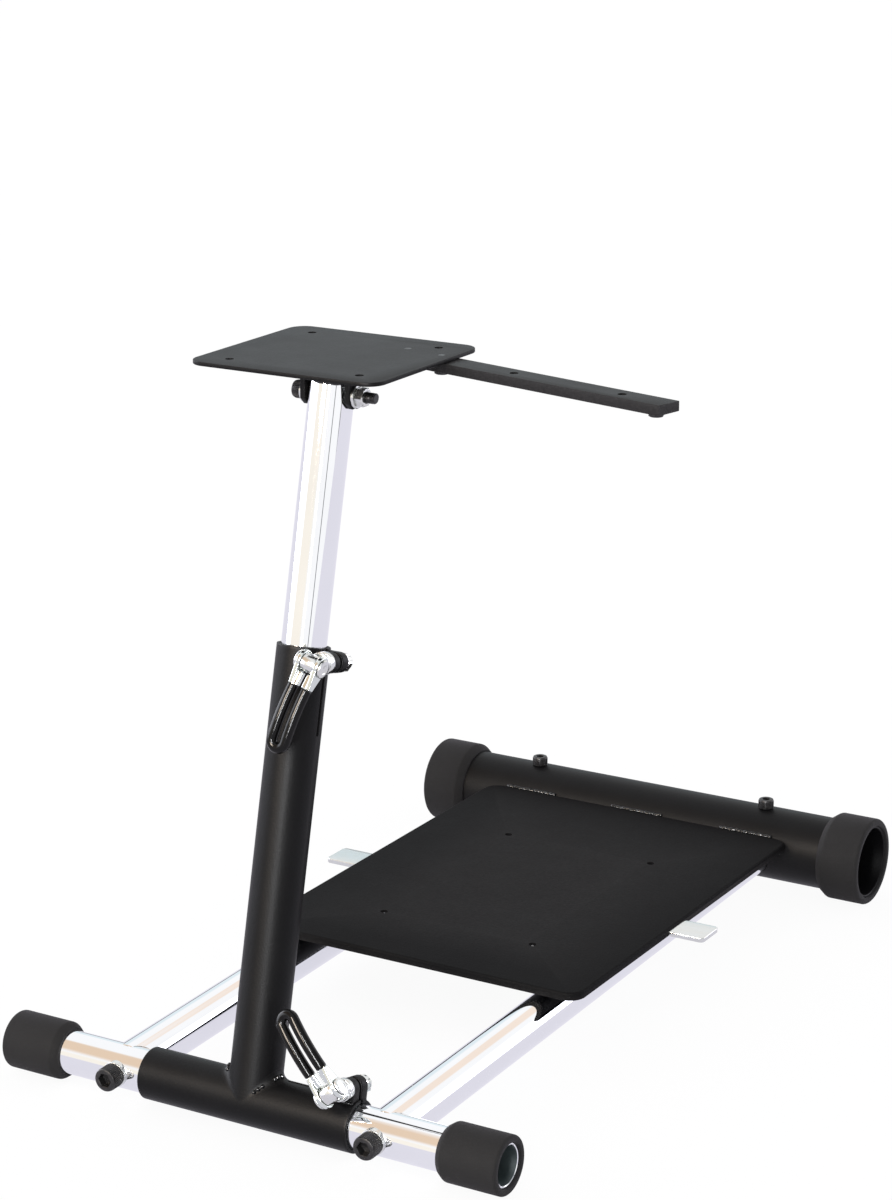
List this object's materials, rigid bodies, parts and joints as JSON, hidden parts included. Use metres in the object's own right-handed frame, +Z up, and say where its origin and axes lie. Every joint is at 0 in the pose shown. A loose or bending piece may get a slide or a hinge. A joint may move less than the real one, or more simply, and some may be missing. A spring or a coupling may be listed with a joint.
{
  "type": "racing wheel stand",
  "caption": "Folding floor stand with a leaning column in a clamped sleeve, a sliding post, a tilting wheel plate, a side shifter arm and a pedal deck on chrome rails.",
  "frame": {"origin": "on the floor under the middle of the stand's box", "axes": "+Z up, +Y away from the player towards the rear tube, +X to the player's right"},
  "size_m": [0.497, 0.7176, 0.5638],
  "materials": {
    "chrome_tube": "polished",
    "black_coat": "satin powder coat",
    "rubber": "matte",
    "zinc": "zinc plated",
    "black_steel": "black oxide",
    "vinyl": "glossy dipped"
  },
  "bodies": {
    "base": {"foot_bar": "chrome_tube", "front_left_cap": "rubber", "front_right_cap": "rubber", "left_rail": "chrome_tube", "right_rail": "chrome_tube", "left_rail_screw": "black_steel", "right_rail_screw": "black_steel", "left_rail_washer": "zinc", "right_rail_washer": "zinc"},
    "pedal_base": {"rear_tube": "black_coat", "rear_left_cap": "rubber", "rear_right_cap": "rubber", "left_rear_bolt": "black_steel", "right_rear_bolt": "black_steel", "pedal_plate": "black_coat", "cross_bar": "zinc"},
    "column": {"column_sleeve": "black_coat", "column_tube": "black_coat", "upper_front_lug": "black_coat", "upper_rear_lug": "black_coat", "upper_clamp_bolt": "zinc", "upper_clamp_pin": "zinc", "upper_cam_washer": "zinc", "upper_clamp_nut": "zinc", "lower_front_lug": "black_coat", "lower_rear_lug": "black_coat", "lower_clamp_bolt": "zinc", "lower_clamp_pin": "zinc", "lower_cam_washer": "zinc", "lower_clamp_nut": "zinc"},
    "upper_lever": {"upper_lever_yoke": "zinc", "upper_lever_grip": "vinyl"},
    "lower_lever": {"lower_lever_yoke": "zinc", "lower_lever_grip": "vinyl"},
    "post": {"post": "chrome_tube", "pivot_bolt": "black_steel", "pivot_nut": "zinc", "left_pivot_washer": "zinc", "right_pivot_washer": "zinc"},
    "head": {"wheel_bracket": "black_coat", "wheel_plate": "black_coat", "shifter_arm": "black_coat", "inner_arm_bolt": "black_steel", "outer_arm_bolt": "black_steel"}
  },
  "joints": [
    {"name": "pedal_slide", "type": "slide", "parent": "base", "child": "pedal_base", "axis": [0, 0.9999, 0.0167], "range_m": [-0.11, 0]},
    {"name": "column_fold", "type": "hinge", "parent": "base", "child": "column", "pos_m": [-0.0305, -0.32771, 0.0225], "axis": [-1, 0, 0], "range_deg": [-13, 60]},
    {"name": "post_slide", "type": "slide", "parent": "column", "child": "post", "axis": [0, -0.2236, -0.9747], "range_m": [-0.09, 0.15]},
    {"name": "plate_tilt", "type": "hinge", "parent": "post", "child": "head", "pos_m": [-0.0305, -0.2101, 0.53518], "axis": [1, 0, 0], "range_deg": [-20, 20]},
    {"name": "upper_lever_turn", "type": "hinge", "parent": "column", "child": "upper_lever", "pos_m": [-0.0042, -0.2823, 0.3524], "axis": [-0.9744, 0.0503, 0.2193], "range_deg": [0, 95]},
    {"name": "lower_lever_turn", "type": "hinge", "parent": "column", "child": "lower_lever", "pos_m": [0.052, -0.35031, 0.0559], "axis": [0.7373, 0.1511, 0.6585], "range_deg": [0, 95]}
  ]
}
